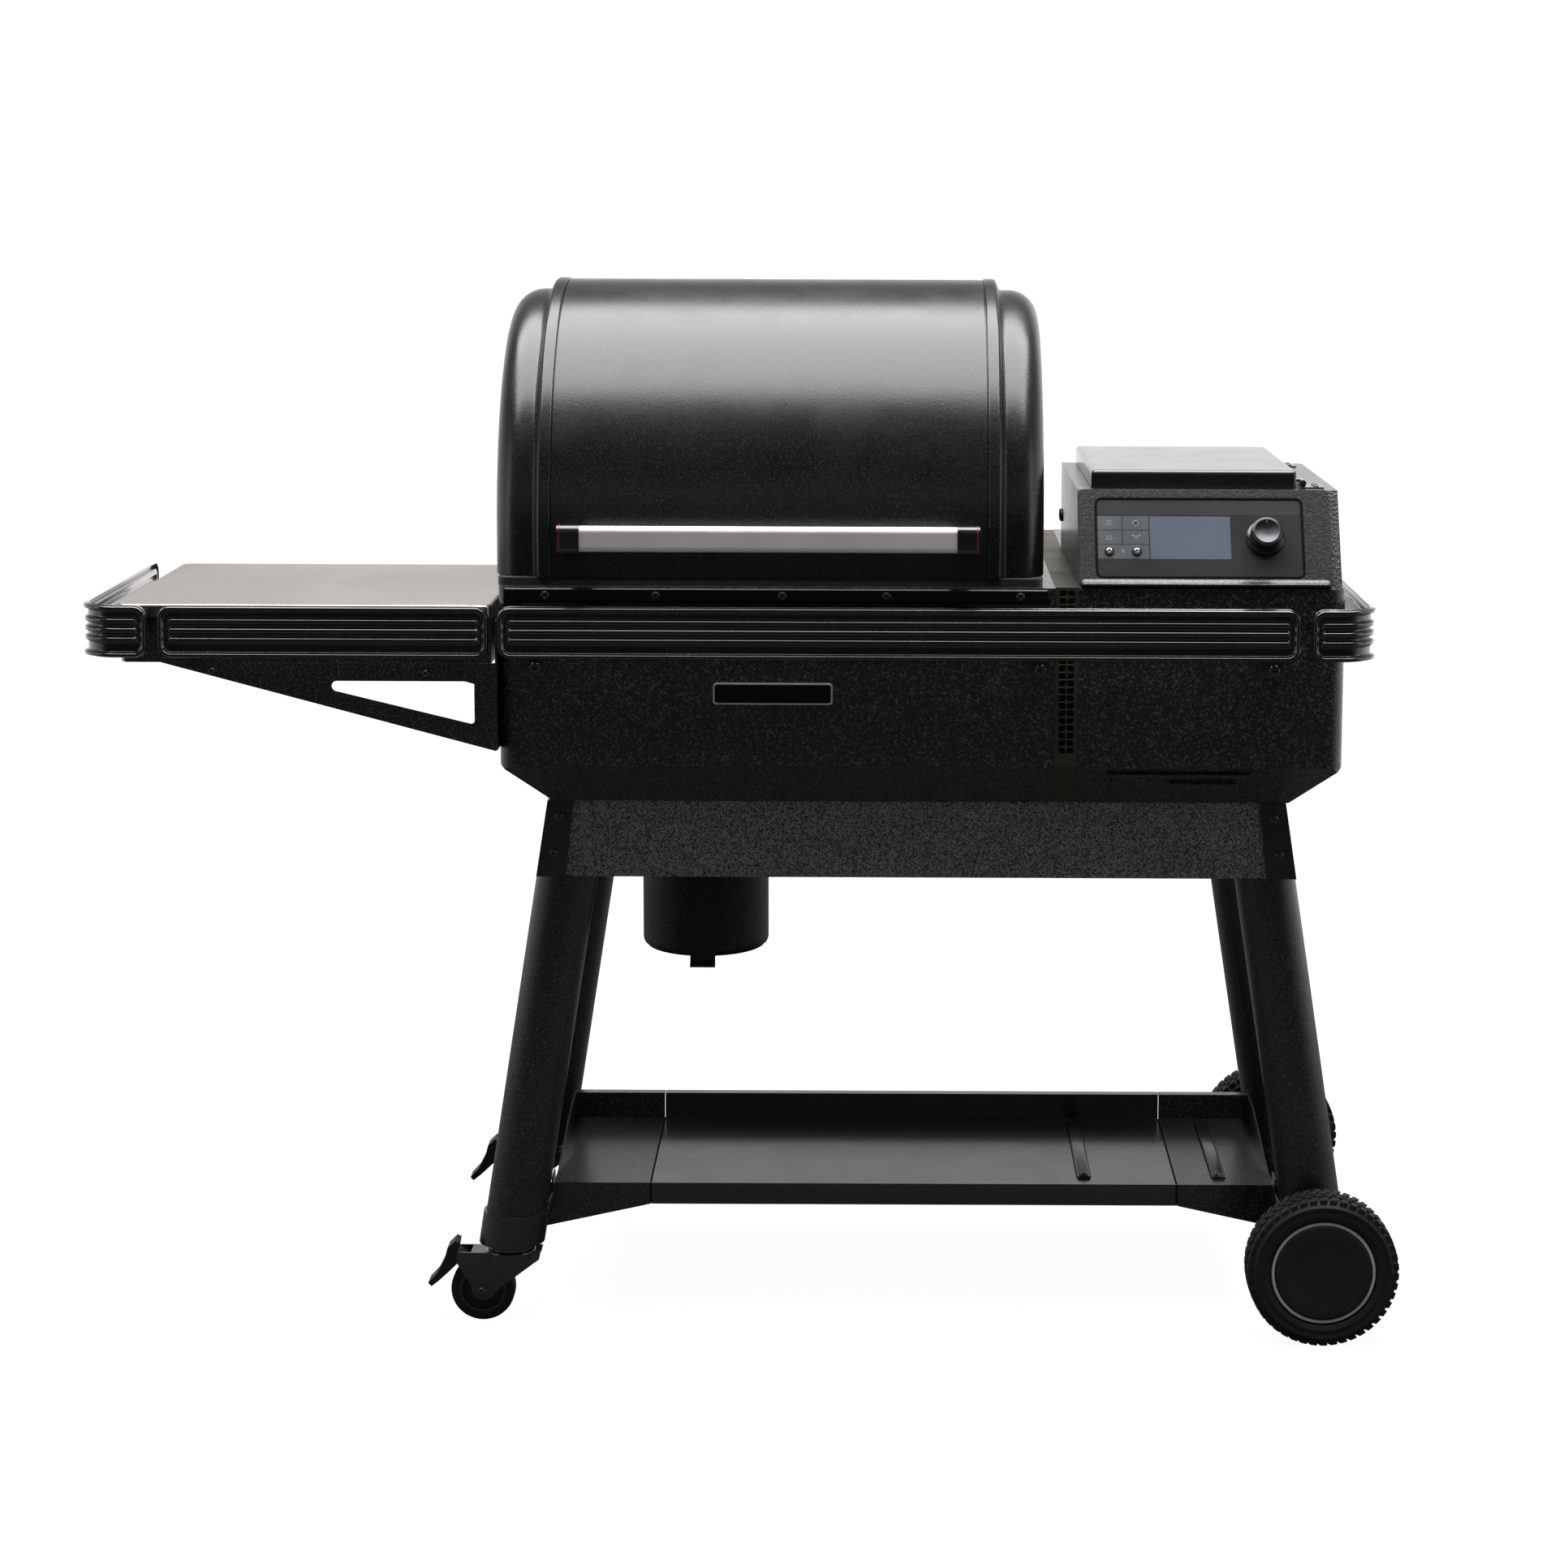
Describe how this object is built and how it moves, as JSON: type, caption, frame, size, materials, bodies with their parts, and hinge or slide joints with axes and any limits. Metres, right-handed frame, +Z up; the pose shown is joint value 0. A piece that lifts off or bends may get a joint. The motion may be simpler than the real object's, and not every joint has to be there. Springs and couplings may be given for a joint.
{
  "type": "pellet smoker grill",
  "caption": "Wood-pellet smoker grill on a splayed-leg cart: half-round hood, pellet hopper with tilted control panel, side shelf, ribbed rails, bottom tray and casters.",
  "frame": {"origin": "bottom centre of the overall box, on the floor", "axes": "+X to the right along the width seen from the front, +Y from the front to the back, +Z up"},
  "size_m": [1.496, 0.658, 1.2172],
  "materials": {
    "apron_charcoal": "coarse wrinkle powder coat",
    "badge_metal": "satin",
    "black_plastic": "moulded",
    "black_steel": "black oxide",
    "caster_tread": "matte",
    "dark_bronze": "satin",
    "felt": "woven gasket",
    "galvanised": "galvanised",
    "gloss_knob": "satin metal look",
    "hood_black": "semi-gloss enamel",
    "panel_glass": "gloss",
    "porcelain": "porcelain coated",
    "rubber_black": "matte",
    "satin_black": "satin powder coat",
    "stainless": "brushed",
    "textured_black": "wrinkle powder coat"
  },
  "bodies": {
    "cart": {"apron_panels": "apron_charcoal", "auger_motor": "black_plastic", "auger_tube": "galvanised", "badge_plate": "badge_metal", "blower_housing": "galvanised", "body_shell": "textured_black", "control_bezel": "satin_black", "control_glass": "panel_glass", "drip_tray": "galvanised", "exhaust_duct": "satin_black", "fasteners": "black_steel", "fire_pot": "stainless", "foot_collars": "black_plastic", "front_rail": "satin_black", "heat_baffle": "galvanised", "hood_gasket": "felt", "hood_hinge_bases": "black_steel", "hopper_bin": "galvanised", "hopper_grille": "black_steel", "hopper_shell": "textured_black", "keg_collar": "galvanised", "left_legs": "satin_black", "left_rail": "satin_black", "leg_brackets": "satin_black", "lid_hinge_bases": "black_steel", "rail_brackets": "satin_black", "right_legs": "satin_black", "right_rail": "satin_black", "shelf_brackets": "textured_black", "shelf_pan": "satin_black", "shelf_rail": "satin_black", "shelf_top": "stainless", "tray_left": "textured_black", "tray_middle": "satin_black", "tray_right": "textured_black", "upper_rack": "porcelain", "vent_column": "dark_bronze"},
    "hood": {"hood_skin": "hood_black", "hood_end_left": "hood_black", "hood_end_right": "hood_black", "handle_bar": "stainless", "handle_mounts": "black_plastic", "hood_hinge_leaves": "black_steel"},
    "lid": {"hopper_lid": "satin_black"},
    "knob": {"control_knob": "gloss_knob"},
    "flap": {"cleanout_door": "textured_black"},
    "keg": {"grease_keg": "satin_black"},
    "grate": {"main_grate": "porcelain"},
    "auger": {"auger": "galvanised"},
    "fan": {"blower_fan": "black_plastic"},
    "front_wheel": {"front_tyre": "rubber_black", "front_wheel_hub": "black_plastic"},
    "rear_wheel": {"rear_tyre": "rubber_black", "rear_wheel_hub": "black_plastic"},
    "front_swivel": {"front_caster_fork": "satin_black"},
    "front_roller": {"front_caster_wheel": "caster_tread"},
    "front_brake": {"front_caster_brake": "black_plastic"},
    "rear_swivel": {"rear_caster_fork": "satin_black"},
    "rear_roller": {"rear_caster_wheel": "caster_tread"},
    "rear_brake": {"rear_caster_brake": "black_plastic"}
  },
  "joints": [
    {"name": "hood_hinge", "type": "hinge", "parent": "cart", "child": "hood", "pos_m": [0.022, 0.301, 0.89], "axis": [-1, 0, 0], "range_deg": [0, 88]},
    {"name": "lid_hinge", "type": "hinge", "parent": "cart", "child": "lid", "pos_m": [0.628, -0.046, 0.9935], "axis": [0, 1, 0], "range_deg": [0, 95]},
    {"name": "knob_turn", "type": "hinge", "parent": "cart", "child": "knob", "pos_m": [0.5795, -0.25502, 0.93697], "axis": [0, -0.8662, 0.4997], "continuous": true},
    {"name": "flap_hinge", "type": "hinge", "parent": "cart", "child": "flap", "pos_m": [0.4845, -0.27878, 0.66896], "axis": [-1, 0, 0], "range_deg": [0, 80]},
    {"name": "keg_release", "type": "slide", "parent": "cart", "child": "keg", "axis": [0, 0, -1], "range_m": [0, 0.12]},
    {"name": "grate_lift", "type": "slide", "parent": "cart", "child": "grate", "axis": [0, 0, 1], "range_m": [0, 0.08]},
    {"name": "auger_turn", "type": "hinge", "parent": "cart", "child": "auger", "pos_m": [0.298, 0.005, 0.712], "axis": [1, 0, 0], "continuous": true},
    {"name": "fan_spin", "type": "hinge", "parent": "cart", "child": "fan", "pos_m": [0.588, 0.206, 0.76], "axis": [1, 0, 0], "continuous": true},
    {"name": "front_wheel_spin", "type": "hinge", "parent": "cart", "child": "front_wheel", "pos_m": [0.66, -0.26, 0.088], "axis": [0, 1, 0], "continuous": true},
    {"name": "rear_wheel_spin", "type": "hinge", "parent": "cart", "child": "rear_wheel", "pos_m": [0.66, 0.292, 0.088], "axis": [0, 1, 0], "continuous": true},
    {"name": "front_caster_swivel", "type": "hinge", "parent": "cart", "child": "front_swivel", "pos_m": [-0.286, -0.192, 0.08], "axis": [0, 0, 1], "continuous": true},
    {"name": "front_caster_spin", "type": "hinge", "parent": "front_swivel", "child": "front_roller", "pos_m": [-0.319, -0.192, 0.0375], "axis": [0, 1, 0], "continuous": true},
    {"name": "front_brake_tilt", "type": "hinge", "parent": "front_swivel", "child": "front_brake", "pos_m": [-0.343, -0.192, 0.077], "axis": [0, -1, 0], "range_deg": [0, 12]},
    {"name": "rear_caster_swivel", "type": "hinge", "parent": "cart", "child": "rear_swivel", "pos_m": [-0.286, 0.224, 0.08], "axis": [0, 0, 1], "continuous": true},
    {"name": "rear_caster_spin", "type": "hinge", "parent": "rear_swivel", "child": "rear_roller", "pos_m": [-0.319, 0.224, 0.0375], "axis": [0, 1, 0], "continuous": true},
    {"name": "rear_brake_tilt", "type": "hinge", "parent": "rear_swivel", "child": "rear_brake", "pos_m": [-0.343, 0.224, 0.077], "axis": [0, -1, 0], "range_deg": [0, 12]}
  ]
}
